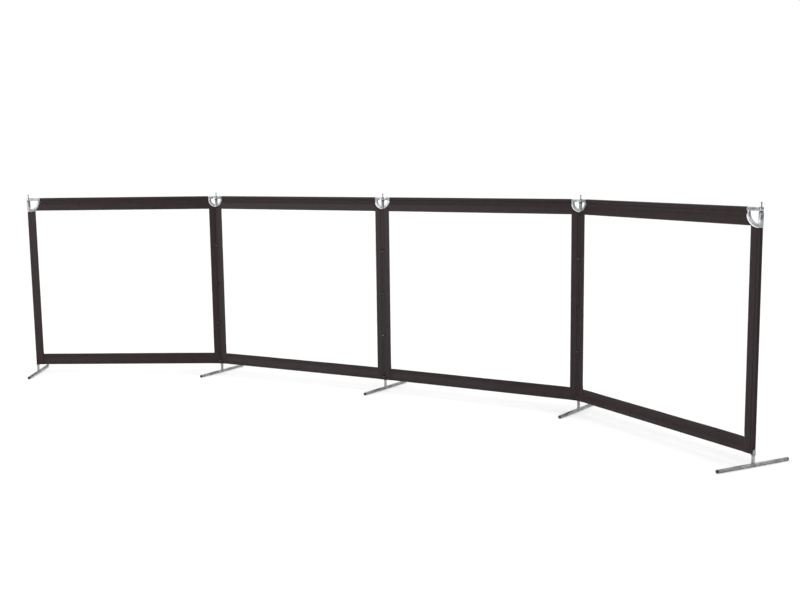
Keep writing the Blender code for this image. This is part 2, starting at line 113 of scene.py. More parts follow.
# Fits of the rings and eyes, as the frame has them
TUBE_WALL = 1.5 * MM
FIT = 0.3 * MM  # between pieces that rest on each other
BORE = 13.2 * MM  # of a ring, round the post
RING = 16.0 * MM  # outside of a ring or eye
SLEEVE = 16.9 * MM  # outside of the long sleeve at an end post
SOCKET = 14.0 * MM  # outside of a foot's welded collar
SPIGOT = 10.5 * MM
COLLAR, COLLAR_BORE = 15.7 * MM, 12.9 * MM
BUSH_LIP = 15.0 * MM
PLUG = 11.0 * MM  # a bush or cap, inside its tube
PIN_BORE = 5.1 * MM
PIN_STEM, PIN_HEAD = 4.75 * MM, 6.5 * MM
CAP_HEAD = 12 * MM
RAIL_LAP = 34.0 * MM  # post axis to the full section of a lapped rail
BRACE_LAP = 19.0 * MM
BRACE_RADIUS = 11.1 * MM
FOLD_BRACE = {"reach": 66 * MM, "drop": 80 * MM, "bend": 62 * MM}
END_BRACE = {"reach": 108 * MM, "drop": 112 * MM, "bend": 92 * MM}
NOTCH_GROW = BRACE_RADIUS + 2 * MM

# The curtain's layout
EDGE = 17.5 * MM  # post axis to the free edge of a side strip
POCKET_RADIUS = 14.2 * MM  # middle of the cloth round a tube
FRONT = -14.3 * MM  # the curtain's flat plane
LAYER = 0.65 * MM  # from one layer of cloth to the next
SEGMENT_GAP = 3 * MM
POCKET_LOW = HEM_RAIL_HEIGHT + TUBE_RADIUS + SEGMENT_GAP
POCKET_HIGH = RAIL_HEIGHT - FOLD_BRACE["drop"] - BRACE_RADIUS - SEGMENT_GAP
STRIP_TOP = RAIL_HEIGHT - 83 * MM
HEM_FOLD = 26 * MM
STRAPS = 3

ROUND = 40  # sides of a turned piece
EPS = 1e-6


# ---- settings


def linear(hex_colour):
    """An sRGB hex value as linear red, green and blue."""
    made = []
    for i in (0, 2, 4):
        c = int(hex_colour[i : i + 2], 16) / 255
        made.append(c / 12.92 if c <= 0.04045 else ((c + 0.055) / 1.055) ** 2.4)
    return made


def size(name, description, millimetres):
    return bpy.props.FloatProperty(
        name=name, description=description, default=millimetres * MM, min=0, unit="LENGTH",
        precision=4,
    )


def colour(name, description, hex_colour):
    return bpy.props.FloatVectorProperty(
        name=name, description=description, default=linear(hex_colour),
        subtype="COLOR", size=3, min=0, max=1,
    )


def angle(name, description, degrees):
    return bpy.props.FloatProperty(
        name=name, description=description, default=math.radians(degrees), subtype="ANGLE"
    )


def power(name, description, watts):
    return bpy.props.FloatProperty(name=name, description=description, default=watts, unit="POWER")


class ScreenSizes(bpy.types.PropertyGroup):
    edge_round: size("Edge round", "Rounding of cut metal edges", 0.6)
    weld_width: size("Weld width", "Width of a fillet weld", 3.2)
    vinyl: size("Vinyl thickness", "Thickness of the coated border cloth", 0.6)
    film: size("Clear sheet thickness", "Thickness of the clear PVC", 0.5)
    side_border: size("Side border", "Post axis to the window", 74)
    top_border: size("Top border", "Rail axis to the window", 114)
    bottom_border: size("Bottom border", "Hem to the window", 112)
    film_lap: size("Window lap", "How far the clear sheet runs behind the border", 15)
    ripple: size("Ripple", "How far the curtain ripples out of its plane", 3.0)
    seam_dent: size("Seam dent", "How far the seam under the rod pocket is drawn in", 12.0)
    hem_dent: size("Hem dent", "How far the cloth falls in above the bottom rail", 11.0)
    strap_width: size("Strap width", "Width of a hem strap", 40)
    stitch_pitch: size("Stitch pitch", "From one stitch to the next", 7)
    stitch_length: size("Stitch length", "Thread that shows in one stitch", 4.6)


class ScreenColours(bpy.types.PropertyGroup):
    zinc_light: colour("Zinc, bright", "Bright parts of the zinc plating", "C2C4C5")
    zinc_dark: colour("Zinc, dull", "Dull parts of the zinc plating", "7E8082")
    pin: colour("Pin", "Turned steel of the drop pins and collars", "6A6B6D")
    weld: colour("Weld", "Weld metal under the plating", "8A8682")
    nylon: colour("Nylon", "Bush in the post's top", "1B1B1C")
    cap: colour("Foot cap", "Moulded end cap", "161617")
    vinyl: colour("Border vinyl", "Coated cloth of the border", "1E1112")
    dust: colour("Border dust", "Dust and rubbed coating on the border", "2E1F21")
    thread: colour("Thread", "Sewing thread", "2B2526")
    clear: colour("Clear PVC", "Clear sheet", "F4F8FA")
    floor: colour("Floor", "Studio floor", "F6F6F6")


class StageSettings(bpy.types.PropertyGroup):
    camera_place: bpy.props.FloatVectorProperty(
        name="Camera place", description="Where the camera stands",
        default=(4.879, -8.472, 2.175), subtype="TRANSLATION", unit="LENGTH",
    )
    camera_heading: angle("Camera heading", "Turn to the left of +Y", 29.07)
    camera_pitch: angle("Camera pitch", "How far the camera looks down", 7.72)
    camera_roll: angle("Camera roll", "Turn about the line of sight", -0.723)
    lens: bpy.props.FloatProperty(
        name="Lens", description="Focal length on a 36 mm sensor", default=47.21
    )
    key_power: power("Key light", "Power of the front softbox", 300)
    top_power: power("Top light", "Power of the overhead softbox", 60)


def settings():
    return bpy.context.scene.screen_sizes, bpy.context.scene.screen_colours


# ---- materials


def add_node(tree, kind, values=(), links=()):
    """Add a node, set its properties and sockets by name, and link sockets to others: to an output,
    or to the first output in use of a node."""
    made = tree.nodes.new("ShaderNode" + kind)
    for key, value in dict(values).items():
        if isinstance(key, str) and hasattr(made, key):
            setattr(made, key, value)
        else:
            made.inputs[key].default_value = value
    for key, source in dict(links).items():
        if isinstance(source, bpy.types.Node):
            source = next(output for output in source.outputs if output.enabled)
        tree.links.new(source, made.inputs[key])
    return made


def rgba(values):
    return (*values, 1.0)


def per(millimetres):
    """Scale of a noise whose features are about this long."""
    return 1 / (millimetres * MM)


def bands(millimetres):
    """Scale of a wave texture whose bands repeat at this length."""
    return math.pi / (10 * millimetres * MM)


def steel(add, light, dark, roughness, grain):
    """Zinc-plated tube: cold-drawn, bright-plated, and then handled. It gives a clean grey gloss
    broken by a fine crystal grain, duller clouds where hands and rain have been, and thin rubs."""
    place = add("TexCoord").outputs["Object"]
    clouds = add(
        "TexNoise", {"Scale": per(60), "Detail": 4, "Roughness": 0.6}, {"Vector": place}
    )
    spangle = add("TexVoronoi", {"Scale": per(grain)}, {"Vector": place})
    fine = add("TexNoise", {"Scale": per(1.2), "Detail": 2}, {"Vector": place})
    both = add("Mix", {"data_type": "FLOAT", "Factor": 0.18}, {"A": clouds, "B": spangle})
    tone = add("MapRange", {"From Min": 0.32, "From Max": 0.62}, {"Value": both})
    paint = add("Mix", {"data_type": "RGBA", "A": rgba(light), "B": rgba(dark)}, {"Factor": tone})
    rough = add(
        "MapRange", {"To Min": roughness - 0.07, "To Max": roughness + 0.10}, {"Value": tone}
    )
    bump = add("Bump", {"Strength": 0.12, "Distance": 0.15 * MM}, {"Height": fine})
    return add(
        "BsdfPrincipled", {"Metallic": 1.0},
        {"Base Color": paint, "Roughness": rough, "Normal": bump},
    )


def moulding(add, tone, roughness, grain):
    """Moulded black plastic: an even, slightly soft gloss with the fine texture of the mould."""
    place = add("TexCoord").outputs["Object"]
    texture = add("TexNoise", {"Scale": per(grain), "Detail": 3}, {"Vector": place})
    scuffs = add(
        "TexNoise", {"Scale": per(9), "Detail": 5, "Roughness": 0.7}, {"Vector": place}
    )
    worn = add("MapRange", {"From Min": 0.55, "From Max": 0.75}, {"Value": scuffs})
    scuffed = rgba([c * 2.2 + 0.01 for c in tone])
    paint = add("Mix", {"data_type": "RGBA", "A": rgba(tone), "B": scuffed}, {"Factor": worn})
    rough = add("MapRange", {"To Min": roughness, "To Max": roughness + 0.2}, {"Value": scuffs})
    bump = add("Bump", {"Strength": 0.25, "Distance": 0.1 * MM}, {"Height": texture})
    return add(
        "BsdfPrincipled", {"IOR": 1.53}, {"Base Color": paint, "Roughness": rough, "Normal": bump}
    )


def coated_cloth(add, tone, dust):
    """Vinyl-coated polyester: a woven scrim under a calendered PVC skin. It gives a dark, half-matt
    cloth in which the threads show through as a fine grid, with rubbed and dusty clouds."""
    flat = add("TexCoord").outputs["UV"]
    # Scrim threads lie about 1.1 mm apart; drawn at 1.6 mm so that they show.
    warp, weft = (
        add(
            "TexWave", {"bands_direction": way, "Scale": bands(1.6), "Distortion": 0.3},
            {"Vector": flat},
        ).outputs["Fac"]
        for way in "XY"
    )
    weave = add("Math", {"operation": "MULTIPLY"}, {0: warp, 1: weft})
    clouds = add(
        "TexNoise", {"Scale": per(90), "Detail": 6, "Roughness": 0.62}, {"Vector": flat}
    )
    streaks = add("Mapping", {"Scale": (1.0, 0.18, 1.0)}, {"Vector": flat})
    runs = add("TexNoise", {"Scale": per(14), "Detail": 4}, {"Vector": streaks})
    worn = add("Mix", {"data_type": "FLOAT", "Factor": 0.4}, {"A": clouds, "B": runs})
    share = add("MapRange", {"From Min": 0.42, "From Max": 0.72, "To Max": 0.55}, {"Value": worn})
    paint = add("Mix", {"data_type": "RGBA", "A": rgba(tone), "B": rgba(dust)}, {"Factor": share})
    rough = add("MapRange", {"To Min": 0.42, "To Max": 0.60}, {"Value": worn})
    creases = add("TexNoise", {"Scale": per(22), "Detail": 3}, {"Vector": flat})
    soft = add("Bump", {"Strength": 0.35, "Distance": 0.6 * MM}, {"Height": creases})
    threads = add(
        "Bump", {"Strength": 0.30, "Distance": 0.12 * MM}, {"Height": weave, "Normal": soft}
    )
    return add(
        "BsdfPrincipled", {"IOR": 1.52, "Specular IOR Level": 0.22},
        {"Base Color": paint, "Roughness": rough, "Normal": threads},
    )


def sewing_thread(add, tone):
    """Bonded polyester thread: dark, twisted, with a dull gleam along each stitch."""
    ply = add("TexNoise", {"Scale": per(0.5)}, {"Vector": add("TexCoord").outputs["Object"]})
    pale = rgba([c * 1.8 for c in tone])
    paint = add("Mix", {"data_type": "RGBA", "A": rgba(tone), "B": pale}, {"Factor": ply})
    return add("BsdfPrincipled", {"Roughness": 0.55, "Sheen Weight": 0.2}, {"Base Color": paint})


def clear_film(add, tone):
    """Flexible clear PVC, calendered: almost unseen face on, with a wet gloss that its shallow
    ripples break up, and faint rubs that haze it."""
    flat = add("TexCoord").outputs["UV"]
    waves = add("TexNoise", {"Scale": per(120), "Detail": 2}, {"Vector": flat})
    rubs = add("TexNoise", {"Scale": per(35), "Detail": 6, "Roughness": 0.7}, {"Vector": flat})
    haze, rough = (
        add(
            "MapRange", {"From Min": start, "From Max": 0.8, "To Min": least, "To Max": 0.16},
            {"Value": rubs},
        )
        for start, least in ((0.5, 0.06), (0.4, 0.05))
    )
    bump = add("Bump", {"Strength": 0.3, "Distance": 1.0 * MM}, {"Height": waves})
    return add(
        "BsdfPrincipled", {"Base Color": rgba(tone), "IOR": 1.53},
        {"Alpha": haze, "Roughness": rough, "Normal": bump},
    )


def floor_paint(add, tone):
    """Painted studio floor: pale and quite matt, rolled on, so that it is never one flat tone."""
    place = add("TexCoord").outputs["Object"]
    roller = add("TexNoise", {"Scale": per(400), "Detail": 3}, {"Vector": place})
    thin = rgba([c * 0.985 for c in tone])
    paint = add("Mix", {"data_type": "RGBA", "A": rgba(tone), "B": thin}, {"Factor": roller})
    return add(
        "BsdfPrincipled", {"Roughness": 0.8, "Specular IOR Level": 0.2}, {"Base Color": paint}
    )


def finish(name):
    """The material of this name, made when it is first asked for."""
    if name in bpy.data.materials:
        return bpy.data.materials[name]
    colours = settings()[1]
    maker, *values = {
        "zinc_plated_steel": (steel, colours.zinc_light, colours.zinc_dark, 0.24, 5),
        "turned_steel": (steel, colours.pin, colours.weld, 0.24, 9),
        "plated_weld": (steel, colours.weld, colours.zinc_dark, 0.42, 2),
        "moulded_nylon": (moulding, colours.nylon, 0.42, 0.5),
        "moulded_pvc": (moulding, colours.cap, 0.36, 0.9),
        "vinyl_coated_polyester": (coated_cloth, colours.vinyl, colours.dust),
        "bonded_polyester_thread": (sewing_thread, colours.thread),
        "clear_flexible_pvc": (clear_film, colours.clear),
        "painted_studio_floor": (floor_paint, colours.floor),
    }[name]
    made = bpy.data.materials.new(name)
    made.use_nodes = True
    made.node_tree.nodes.clear()
    add = partial(add_node, made.node_tree)
    add("OutputMaterial", links={"Surface": maker(add, *values)})
    return made


# ---- shells


class Piece:
    """One piece's mesh, gathered from closed shells, and the finishes that its faces take."""

    def __init__(self, *finishes):
        self.bm = bmesh.new()
        self.bm.loops.layers.uv.new("UVMap")
        self.finishes = finishes

    def add(self, shell, place=Matrix(), finish=0):
        """Add a shell at a place. A mirrored one keeps its faces outwards."""
        shell.transform(place)
        if place.determinant() < 0:
            bmesh.ops.reverse_faces(shell, faces=shell.faces)
        for face in shell.faces:
            face.material_index = finish
        mesh = bpy.data.meshes.new("shell")
        shell.to_mesh(mesh)
        shell.free()
        self.bm.from_mesh(mesh)
        bpy.data.meshes.remove(mesh)

    def done(self, name, n, slot, nodes=(), body="panel", sharp=38.0):
        """The finished object at its panel or post, riding on its body in place of these nodes."""
        name = f"{name}_{n}"
        mesh = bpy.data.meshes.new(name)
        self.bm.transform(panel_place(n) if body == "panel" else post_place(n))
        self.bm.to_mesh(mesh)
        self.bm.free()
        mesh.shade_smooth()
        mesh.set_sharp_from_angle(angle=math.radians(sharp))
        for name_of_finish in self.finishes:
            mesh.materials.append(finish(name_of_finish))
        obj = bpy.data.objects.new(name, mesh)
        bpy.context.scene.collection.objects.link(obj)
        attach(obj, f"{body}_{n}")
        if nodes:
            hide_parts(*(f"{node}_{n}" for node in nodes))
        return obj


def turned(profile, steps=ROUND):
    """A closed shell from a profile of (radius, height) points turned about Z."""
    bm = bmesh.new()
    verts = [bm.verts.new((radius, 0, height)) for radius, height in profile]
    edges = [bm.edges.new(pair) for pair in zip(verts, verts[1:])]
    if profile[0][0] > 0:
        edges.append(bm.edges.new((verts[-1], verts[0])))
    bmesh.ops.spin(
        bm, geom=verts + edges, cent=(0, 0, 0), axis=(0, 0, 1), angle=2 * math.pi,
        steps=steps, use_merge=True,
    )
    bmesh.ops.remove_doubles(bm, verts=bm.verts, dist=EPS)
    bmesh.ops.recalc_face_normals(bm, faces=bm.faces)
    return bm


def soften(bm, width, segments=2):
    """Round off a shell's sharp edges."""
    least = math.radians(50)
    sharp = [e for e in bm.edges if e.is_manifold and e.calc_face_angle() > least]
    bmesh.ops.bevel(
        bm, geom=sharp, offset=width, offset_type="OFFSET", segments=segments, profile=0.5,
        affect="EDGES", clamp_overlap=True, material=-1,
    )
    return bm


def sleeve(inner, outer, low, high):
    """A tube's wall along Z."""
    return turned([(outer, low), (outer, high), (inner, high), (inner, low)])


def bar(radius, low, high, steps=ROUND):
    """A solid round bar along Z."""
    bm = bmesh.new()
    bmesh.ops.create_cone(
        bm, cap_ends=True, segments=steps, radius1=radius, radius2=radius, depth=high - low,
        matrix=Matrix.Translation((0, 0, (low + high) / 2)),
    )
    return bm


def close_up(bm):
    """Fill a shell's open ends and turn its faces outwards."""
    bmesh.ops.holes_fill(bm, edges=[e for e in bm.edges if e.is_boundary], sides=0)
    bmesh.ops.recalc_face_normals(bm, faces=bm.faces)
    return bm


def cut_off(bm, point, normal):
    """Cut a solid shell at a plane, drop what lies on the normal's side, and close the cut."""
    geom = bm.verts[:] + bm.edges[:] + bm.faces[:]
    bmesh.ops.bisect_plane(
        bm, geom=geom, dist=EPS, plane_co=point, plane_no=normal, clear_outer=True
    )
    return close_up(bm)


def cope(bm, at, radius, axis="z", origin=0.0, towards=1):
    """Hollow a bar's flat end, at this place on its axis, so that it fits round a tube of this
    radius that crosses the axis at the origin."""

    def on_end(vert):
        return abs(getattr(vert.co, axis) - at) < EPS

    bmesh.ops.poke(bm, faces=[f for f in bm.faces if all(on_end(v) for v in f.verts)])
    for vert in bm.verts:
        if on_end(vert):
            setattr(vert.co, axis, origin + towards * math.sqrt(max(radius**2 - vert.co.y**2, 0)))
    return bm


def weld(tube_radius, width, on_radius):
    """A fillet weld round a tube's end: overlapping lumps that follow the tube it stands on."""
    lumps = round(2 * math.pi * tube_radius / (1.8 * MM))
    turns = [math.pi * i / 4 for i in range(8)]
    profile = [(tube_radius + width / 2 * math.cos(a), width / 2 * math.sin(a)) for a in turns]
    bm = turned(profile, steps=96)
    for vert in bm.verts:
        around = math.atan2(vert.co.y, vert.co.x)
        rim = Vector((math.cos(around), math.sin(around), 0)) * tube_radius
        swell = 0.88 + 0.20 * abs(math.sin(around * lumps / 2))
        vert.co = rim + (vert.co - rim) * swell
        vert.co.z += math.sqrt(max(on_radius**2 - vert.co.y**2, 0))
    return bm


ALONG_X = Matrix.Rotation(math.pi / 2, 4, "Y")  # turns Z to +X and X to -Z


def placed(origin, start, end):
    """Axes at an origin on the floor, with X from start towards end."""
    turn = math.atan2(end.y - start.y, end.x - start.x)
    return Matrix.Translation((origin.x, origin.y, 0)) @ Matrix.Rotation(turn, 4, "Z")


def post_place(n):
    """A post's axes: X along its foot, to the rear cap."""
    return placed(AXES[n], middle(f"foot_cap_front_{n}"), middle(f"foot_cap_rear_{n}"))


def panel_place(n):
    """A panel's axes: X from its left post to its right one."""
    return placed(AXES[n], AXES[n], AXES[n + 1])


def end_kinds(n):
    """What a panel meets at its left and right end: an end post, or half of a folding joint."""
    return ("end" if n == 1 else "low", "end" if n == 4 else "high")


def at_end(right):
    """Turns what is built at a panel's left end to the end that is asked for."""
    if right:
        return Matrix.Translation((PITCH, 0, 0)) @ Matrix.Diagonal((-1, 1, 1, 1))
    return Matrix()


def halved(bm, kind, height):
    """Keep the half of an eye or tongue that this end of a panel has."""
    if kind == "low":
        return cut_off(bm, (0, 0, height - FIT / 2), (0, 0, 1))
    if kind == "high":
        return cut_off(bm, (0, 0, height + FIT / 2), (0, 0, -1))
    return bm


def ring(inner, outer, kind, low, high, edge):
    """A ring round Z that fills a height band, or the half of it that this end has."""
    mid = (low + high) / 2
    if kind == "low":
        high = mid - FIT / 2
    if kind == "high":
        low = mid + FIT / 2
    return soften(sleeve(inner, outer, low, high), edge)


# ---- posts and feet


class CURTAIN_OT_add_posts(bpy.types.Operator):
    """Add the five round posts"""

    bl_idname = "curtain.add_posts"
    bl_label = "Posts"

    def execute(self, context):
        for n in POSTS:
            piece = Piece("zinc_plated_steel")
            tube = sleeve(TUBE_RADIUS - TUBE_WALL, TUBE_RADIUS, POST_BOTTOM, POST_TOP)
            piece.add(soften(tube, settings()[0].edge_round))
            piece.done("post", n, "zinc_steel", ["post_tube"], "post")
        return {"FINISHED"}


class CURTAIN_OT_add_feet(bpy.types.Operator):
    """Add the cross tubes with their welded sockets and spigots"""

    bl_idname = "curtain.add_feet"
    bl_label = "Feet"

    def execute(self, context):
        sizes = settings()[0]
        mouth = FOOT_HALF - CAP_HEAD - FIT
        axis = Matrix.Translation((0, 0, TUBE_RADIUS))
        low, top = 2 * MM, POST_BOTTOM - FIT - TUBE_RADIUS
        for n in POSTS:
            piece = Piece("zinc_plated_steel", "plated_weld")
            tube = sleeve(TUBE_RADIUS - TUBE_WALL, TUBE_RADIUS, -mouth, mouth)
            piece.add(soften(tube, sizes.edge_round), axis @ ALONG_X)
            collar = soften(bar(SOCKET, low, top), sizes.edge_round)
            piece.add(cope(collar, low, TUBE_RADIUS - 1 * MM), axis)
            piece.add(soften(bar(SPIGOT, top - 1 * MM, SPIGOT_TOP - TUBE_RADIUS), 1 * MM), axis)
            piece.add(weld(SOCKET, sizes.weld_width, TUBE_RADIUS), axis, finish=1)
            piece.done("foot", n, "zinc_steel", ["foot_tube"], "post")
        return {"FINISHED"}


class CURTAIN_OT_add_foot_caps(bpy.types.Operator):
    """Add the black end caps of the feet"""

    bl_idname = "curtain.add_foot_caps"
    bl_label = "Foot caps"

    def execute(self, context):
        head, rim, neck = CAP_HEAD, TUBE_RADIUS, PLUG - 0.3 * MM
        profile = [
            (0, head), (rim - 5 * MM, head - 0.2 * MM), (rim - 2.4 * MM, head - 1.0 * MM),
            (rim - 0.8 * MM, head - 2.8 * MM), (rim, head - 5.2 * MM), (rim, 1.6 * MM),
            (rim - 0.6 * MM, 0.0), (neck, 0.0), (neck, -4 * MM), (PLUG, -5 * MM),
            (neck, -6 * MM), (neck, -11 * MM), (PLUG, -12 * MM),
            (neck, -13 * MM), (PLUG - 0.8 * MM, -22 * MM), (0, -22 * MM),
        ]
        for n in POSTS:
            for side, where in ((-1, "front"), (1, "rear")):
                piece = Piece("moulded_pvc")
                place = Matrix.Translation((side * (FOOT_HALF - head), 0, TUBE_RADIUS))
                piece.add(turned(profile), place @ Matrix.Rotation(side * math.pi / 2, 4, "Y"))
                piece.done(f"cap_{where}", n, "cap_vinyl", [f"foot_cap_{where}"], "post", 50)
        return {"FINISHED"}


class CURTAIN_OT_add_bushes(bpy.types.Operator):
    """Add the flanged bushes in the tops of the posts"""

    bl_idname = "curtain.add_bushes"
    bl_label = "Bushes"

    def execute(self, context):
        top, lip = BUSH_HIGH, BUSH_HIGH - 9 * MM
        profile = [
            (BUSH_LIP, top), (BUSH_LIP, top - 3 * MM), (TUBE_RADIUS + 0.9 * MM, top - 5 * MM),
            (TUBE_RADIUS + 0.6 * MM, lip), (PLUG, lip), (PLUG, BUSH_LOW + 3 * MM),
            (PLUG - 1 * MM, BUSH_LOW), (PIN_BORE, BUSH_LOW), (PIN_BORE, top),
        ]
        for n in POSTS:
            piece = Piece("moulded_nylon")
            piece.add(soften(turned(profile), 0.5 * MM))
            piece.done("bush", n, "bush_nylon", ["post_bush"], "post")
        return {"FINISHED"}


class CURTAIN_OT_add_collars(bpy.types.Operator):
    """Add the set collars, each with its socket screw"""

    bl_idname = "curtain.add_collars"
    bl_label = "Set collars"

    def execute(self, context):
        inwards = Matrix.Translation((COLLAR - 2.0 * MM, 0, (COLLAR_LOW + COLLAR_HIGH) / 2))
        turn = Matrix.Rotation(math.radians(35), 4, "Z")
        sides = 24
        for n in POSTS:
            piece = Piece("turned_steel", "plated_weld")
            piece.add(soften(sleeve(COLLAR_BORE, COLLAR, COLLAR_LOW, COLLAR_HIGH), 0.8 * MM))
            screw = bar(2.8 * MM, 0, 2.4 * MM, sides)
            ends = [f for f in screw.faces if len(f.verts) == sides]
            head = [f for f in ends if f.calc_center_median().z > 1 * MM]
            bmesh.ops.inset_region(screw, faces=head, thickness=1.2 * MM, depth=0)
            bmesh.ops.translate(screw, verts=head[0].verts[:], vec=(0, 0, -1.6 * MM))
            piece.add(screw, turn @ inwards @ ALONG_X, finish=1)
            piece.done("collar", n, "zinc_steel", ["stop_collar"], "post")
        return {"FINISHED"}


class CURTAIN_OT_add_pins(bpy.types.Operator):
    """Add the drop pins that lock the eyes together"""

    bl_idname = "curtain.add_pins"
    bl_label = "Hinge pins"

    def execute(self, context):
        stem, head, flange = PIN_STEM, PIN_HEAD, 8.0 * MM
        seat = RAIL_HEIGHT + TUBE_RADIUS + FIT
        centre = PIN_HIGH - head
        neck = math.asin(0.62)
        turns = [math.pi / 2 - (math.pi - neck) * i / 12 for i in range(1, 13)]
        ball = [(head * math.cos(a), centre + head * math.sin(a)) for a in turns]
        profile = [(0, PIN_HIGH)] + ball + [
            (stem * 0.82, centre - head - 1 * MM), (stem * 0.82, seat + 4.6 * MM),
            (stem, seat + 3.4 * MM), (flange - 0.6 * MM, seat + 3.0 * MM),
            (flange, seat + 2.4 * MM), (flange, seat + 0.3 * MM), (flange - 0.3 * MM, seat),
            (stem, seat), (stem, PIN_LOW + 3.4 * MM), (stem * 0.8, PIN_LOW + 1 * MM),
            (stem * 0.45, PIN_LOW), (0, PIN_LOW),
        ]
        for n in POSTS:
            piece = Piece("turned_steel")
            piece.add(turned(profile))
            piece.done("pin", n, "zinc_steel", ["hinge_pin"], "pin", 45)
        return {"FINISHED"}


# ---- rails and braces


def rail_piece(height, kinds, bore):
    """A rail with an eye at each end. A folding joint has half an eye on a half-round tongue."""
    sizes = settings()[0]
    piece = Piece("zinc_plated_steel", "plated_weld")
    seat = RING - 0.4 * MM
    left, right = (RING if kind == "end" else RAIL_LAP for kind in kinds)
    tube = bar(TUBE_RADIUS, left, PITCH - right)
    if kinds[0] == "end":
        cope(tube, left, seat)
    if kinds[1] == "end":
        cope(tube, PITCH - right, seat, origin=PITCH, towards=-1)
    along = Matrix.Translation((0, 0, height)) @ ALONG_X
    piece.add(tube if "end" in kinds else soften(tube, sizes.edge_round), along)
    low, high = height - TUBE_RADIUS, height + TUBE_RADIUS
    for right, kind in enumerate(kinds):
        place = at_end(right)
        piece.add(ring(bore, RING, kind, low, high, sizes.edge_round), place)
        bead = weld(TUBE_RADIUS - 0.8 * MM, sizes.weld_width, RING)
        bead.transform(along)
        piece.add(halved(bead, kind, height), place, finish=1)
        if kind != "end":
            tongue = cope(bar(TUBE_RADIUS, RING, RAIL_LAP + 1 * MM), RING, seat)
            tongue.transform(along)
            piece.add(halved(tongue, kind, height), place)
    return piece


class CURTAIN_OT_add_rails(bpy.types.Operator):
    """Add the top and bottom rails"""

    bl_idname = "curtain.add_rails"
    bl_label = "Rails"

    def execute(self, context):
        levels = (("top", RAIL_HEIGHT, PIN_BORE), ("bottom", HEM_RAIL_HEIGHT, BORE))
        for n in PANELS:
            for where, height, bore in levels:
                rail = rail_piece(height, end_kinds(n), bore)
                rail.done(f"rail_{where}", n, "zinc_steel", [f"{where}_rail"])
        return {"FINISHED"}


def brace_bar(shape):
    """The bent bar of a brace at a left end: a ring inside the rail that is run down, spun round
    the bend and run on to the post's axis."""
    bm = bmesh.new()
    reach, bend = shape["reach"], shape["bend"]
    low = RAIL_HEIGHT - shape["drop"] + bend
    bmesh.ops.create_circle(
        bm, cap_ends=False, segments=28, radius=BRACE_RADIUS,
        matrix=Matrix.Translation((reach, 0, RAIL_HEIGHT)),
    )

    def run(loop, by):
        edges = [g for g in loop if isinstance(g, BMEdge)]
        made = bmesh.ops.extrude_edge_only(bm, edges=edges)["geom"]
        verts = [g for g in made if isinstance(g, BMVert)]
        bmesh.ops.translate(bm, verts=verts, vec=by)
        edges = [g for g in made if isinstance(g, BMEdge)]
        return verts + [e for e in edges if all(v in verts for v in e.verts)]

    bent = bmesh.ops.spin(
        bm, geom=run(bm.verts[:] + bm.edges[:], (0, 0, low - RAIL_HEIGHT)),
        cent=(reach - bend, 0, low), axis=(0, 1, 0), angle=math.pi / 2, steps=14,
    )["geom_last"]
    run(bent, (bend - reach, 0, 0))
    bmesh.ops.remove_doubles(bm, verts=bm.verts, dist=EPS)
    return close_up(bm)


def brace_piece(kind):
    """A bent corner brace with its ring, or at an end post with its long sleeve."""
    sizes = settings()[0]
    piece = Piece("zinc_plated_steel", "plated_weld")
    shape, outer = (END_BRACE, SLEEVE) if kind == "end" else (FOLD_BRACE, RING)
    floor, seat = RAIL_HEIGHT - shape["drop"], outer - 0.5 * MM
    tube = brace_bar(shape)
    for vert in tube.verts:  # the top end is coped to the rail
        if abs(vert.co.z - RAIL_HEIGHT) < EPS:
            vert.co.z -= math.sqrt((TUBE_RADIUS - 0.7 * MM) ** 2 - vert.co.y**2)
    if kind == "end":
        tube = cut_off(tube, (seat, 0, 0), (-1, 0, 0))
        piece.add(cope(tube, seat, seat, "x"))
        piece.add(ring(BORE, outer, kind, SLEEVE_LOW, POST_TOP, sizes.edge_round))
    else:
        tongue = cut_off(tube.copy(), (BRACE_LAP + 1 * MM, 0, 0), (1, 0, 0))
        piece.add(soften(cut_off(tube, (BRACE_LAP, 0, 0), (-1, 0, 0)), 0.3 * MM, 1))
        tongue = cope(cut_off(tongue, (seat, 0, 0), (-1, 0, 0)), seat, seat, "x")
        piece.add(halved(tongue, kind, floor))
        band = (floor - BRACE_RADIUS, floor + BRACE_RADIUS)
        piece.add(ring(BORE, outer, kind, *band, sizes.edge_round))
    bead = weld(BRACE_RADIUS - 0.4 * MM, sizes.weld_width, outer)
    bead.transform(Matrix.Translation((0, 0, floor)) @ ALONG_X)
    piece.add(halved(bead, kind, floor), finish=1)
    down = Matrix.Translation((shape["reach"], 0, RAIL_HEIGHT)) @ Matrix.Diagonal((1, -1, -1, 1))
    piece.add(weld(BRACE_RADIUS, sizes.weld_width, TUBE_RADIUS), down, finish=1)
    return piece


class CURTAIN_OT_add_braces(bpy.types.Operator):
    """Add the bent corner braces"""

    bl_idname = "curtain.add_braces"
    bl_label = "Corner braces"

    def execute(self, context):
        for n in PANELS:
            for right, kind in enumerate(end_kinds(n)):
                side = "right" if right else "left"
                piece = brace_piece(kind)
                piece.bm.transform(at_end(right))
                if right:
                    bmesh.ops.reverse_faces(piece.bm, faces=piece.bm.faces)
                piece.done(f"brace_{side}", n, "zinc_steel", [f"{side}_brace"])
        return {"FINISHED"}


# ---- the curtain


def smooth(low, high, value):
    t = min(max((value - low) / (high - low), 0.0), 1.0)
    return t * t * (3 - 2 * t)


